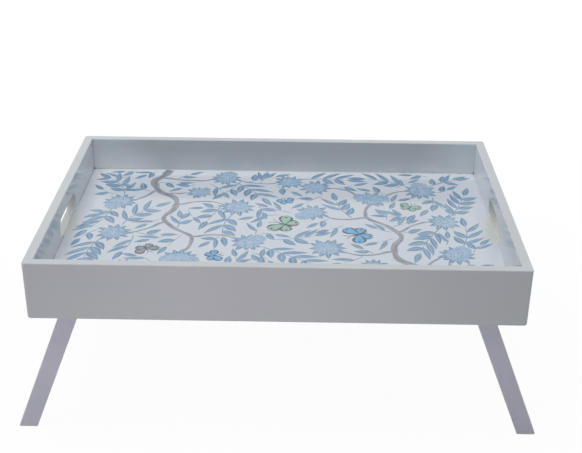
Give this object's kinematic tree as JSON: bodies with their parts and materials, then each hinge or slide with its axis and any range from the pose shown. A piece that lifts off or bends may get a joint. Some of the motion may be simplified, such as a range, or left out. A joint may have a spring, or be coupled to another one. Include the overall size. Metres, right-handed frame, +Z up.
{
  "type": "breakfast tray",
  "caption": "Rectangular lacquered bed tray with a sunken printed panel, a hand hole in each end wall and splayed leg frames that fold flat underneath.",
  "frame": {"origin": "on the floor under the middle of the tray, between the four feet", "axes": "+X along the tray's length to the right-hand end as seen in the picture, +Y from the front wall to the back wall, +Z up"},
  "size_m": [0.6614, 0.4, 0.247],
  "materials": {
    "wall_lacquer": "pale grey gloss lacquer on board",
    "printed_panel": "white lacquered board with a blue botanical print under gloss varnish",
    "leg_lacquer": "pale lilac-grey satin lacquer on solid wood",
    "bare_wood": "bare beech",
    "zinc_steel": "bright zinc plate",
    "insert_brass": "plain turned brass",
    "nylon": "natural white nylon"
  },
  "bodies": {
    "tray": {"front_wall": "wall_lacquer", "back_wall": "wall_lacquer", "left_end_wall": "wall_lacquer", "right_end_wall": "wall_lacquer", "base_panel": "printed_panel", "left_front_corner_spline": "bare_wood", "left_back_corner_spline": "bare_wood", "right_front_corner_spline": "bare_wood", "right_back_corner_spline": "bare_wood", "left_pivot_screws": "zinc_steel", "right_pivot_screws": "zinc_steel", "left_threaded_inserts": "insert_brass", "right_threaded_inserts": "insert_brass", "left_spacer_washers": "nylon", "right_spacer_washers": "nylon", "left_head_washers": "zinc_steel", "right_head_washers": "zinc_steel"},
    "left_leg_frame": {"left_front_leg": "leg_lacquer", "left_back_leg": "leg_lacquer", "left_stretcher": "leg_lacquer"},
    "right_leg_frame": {"right_front_leg": "leg_lacquer", "right_back_leg": "leg_lacquer", "right_stretcher": "leg_lacquer"}
  },
  "joints": [
    {"name": "left_leg_fold", "type": "hinge", "parent": "tray", "child": "left_leg_frame", "pos_m": [-0.248, 0, 0.1822], "axis": [0, -1, 0], "range_deg": [0, 111.5]},
    {"name": "right_leg_fold", "type": "hinge", "parent": "tray", "child": "right_leg_frame", "pos_m": [0.248, 0, 0.1822], "axis": [0, 1, 0], "range_deg": [0, 111.5]}
  ]
}
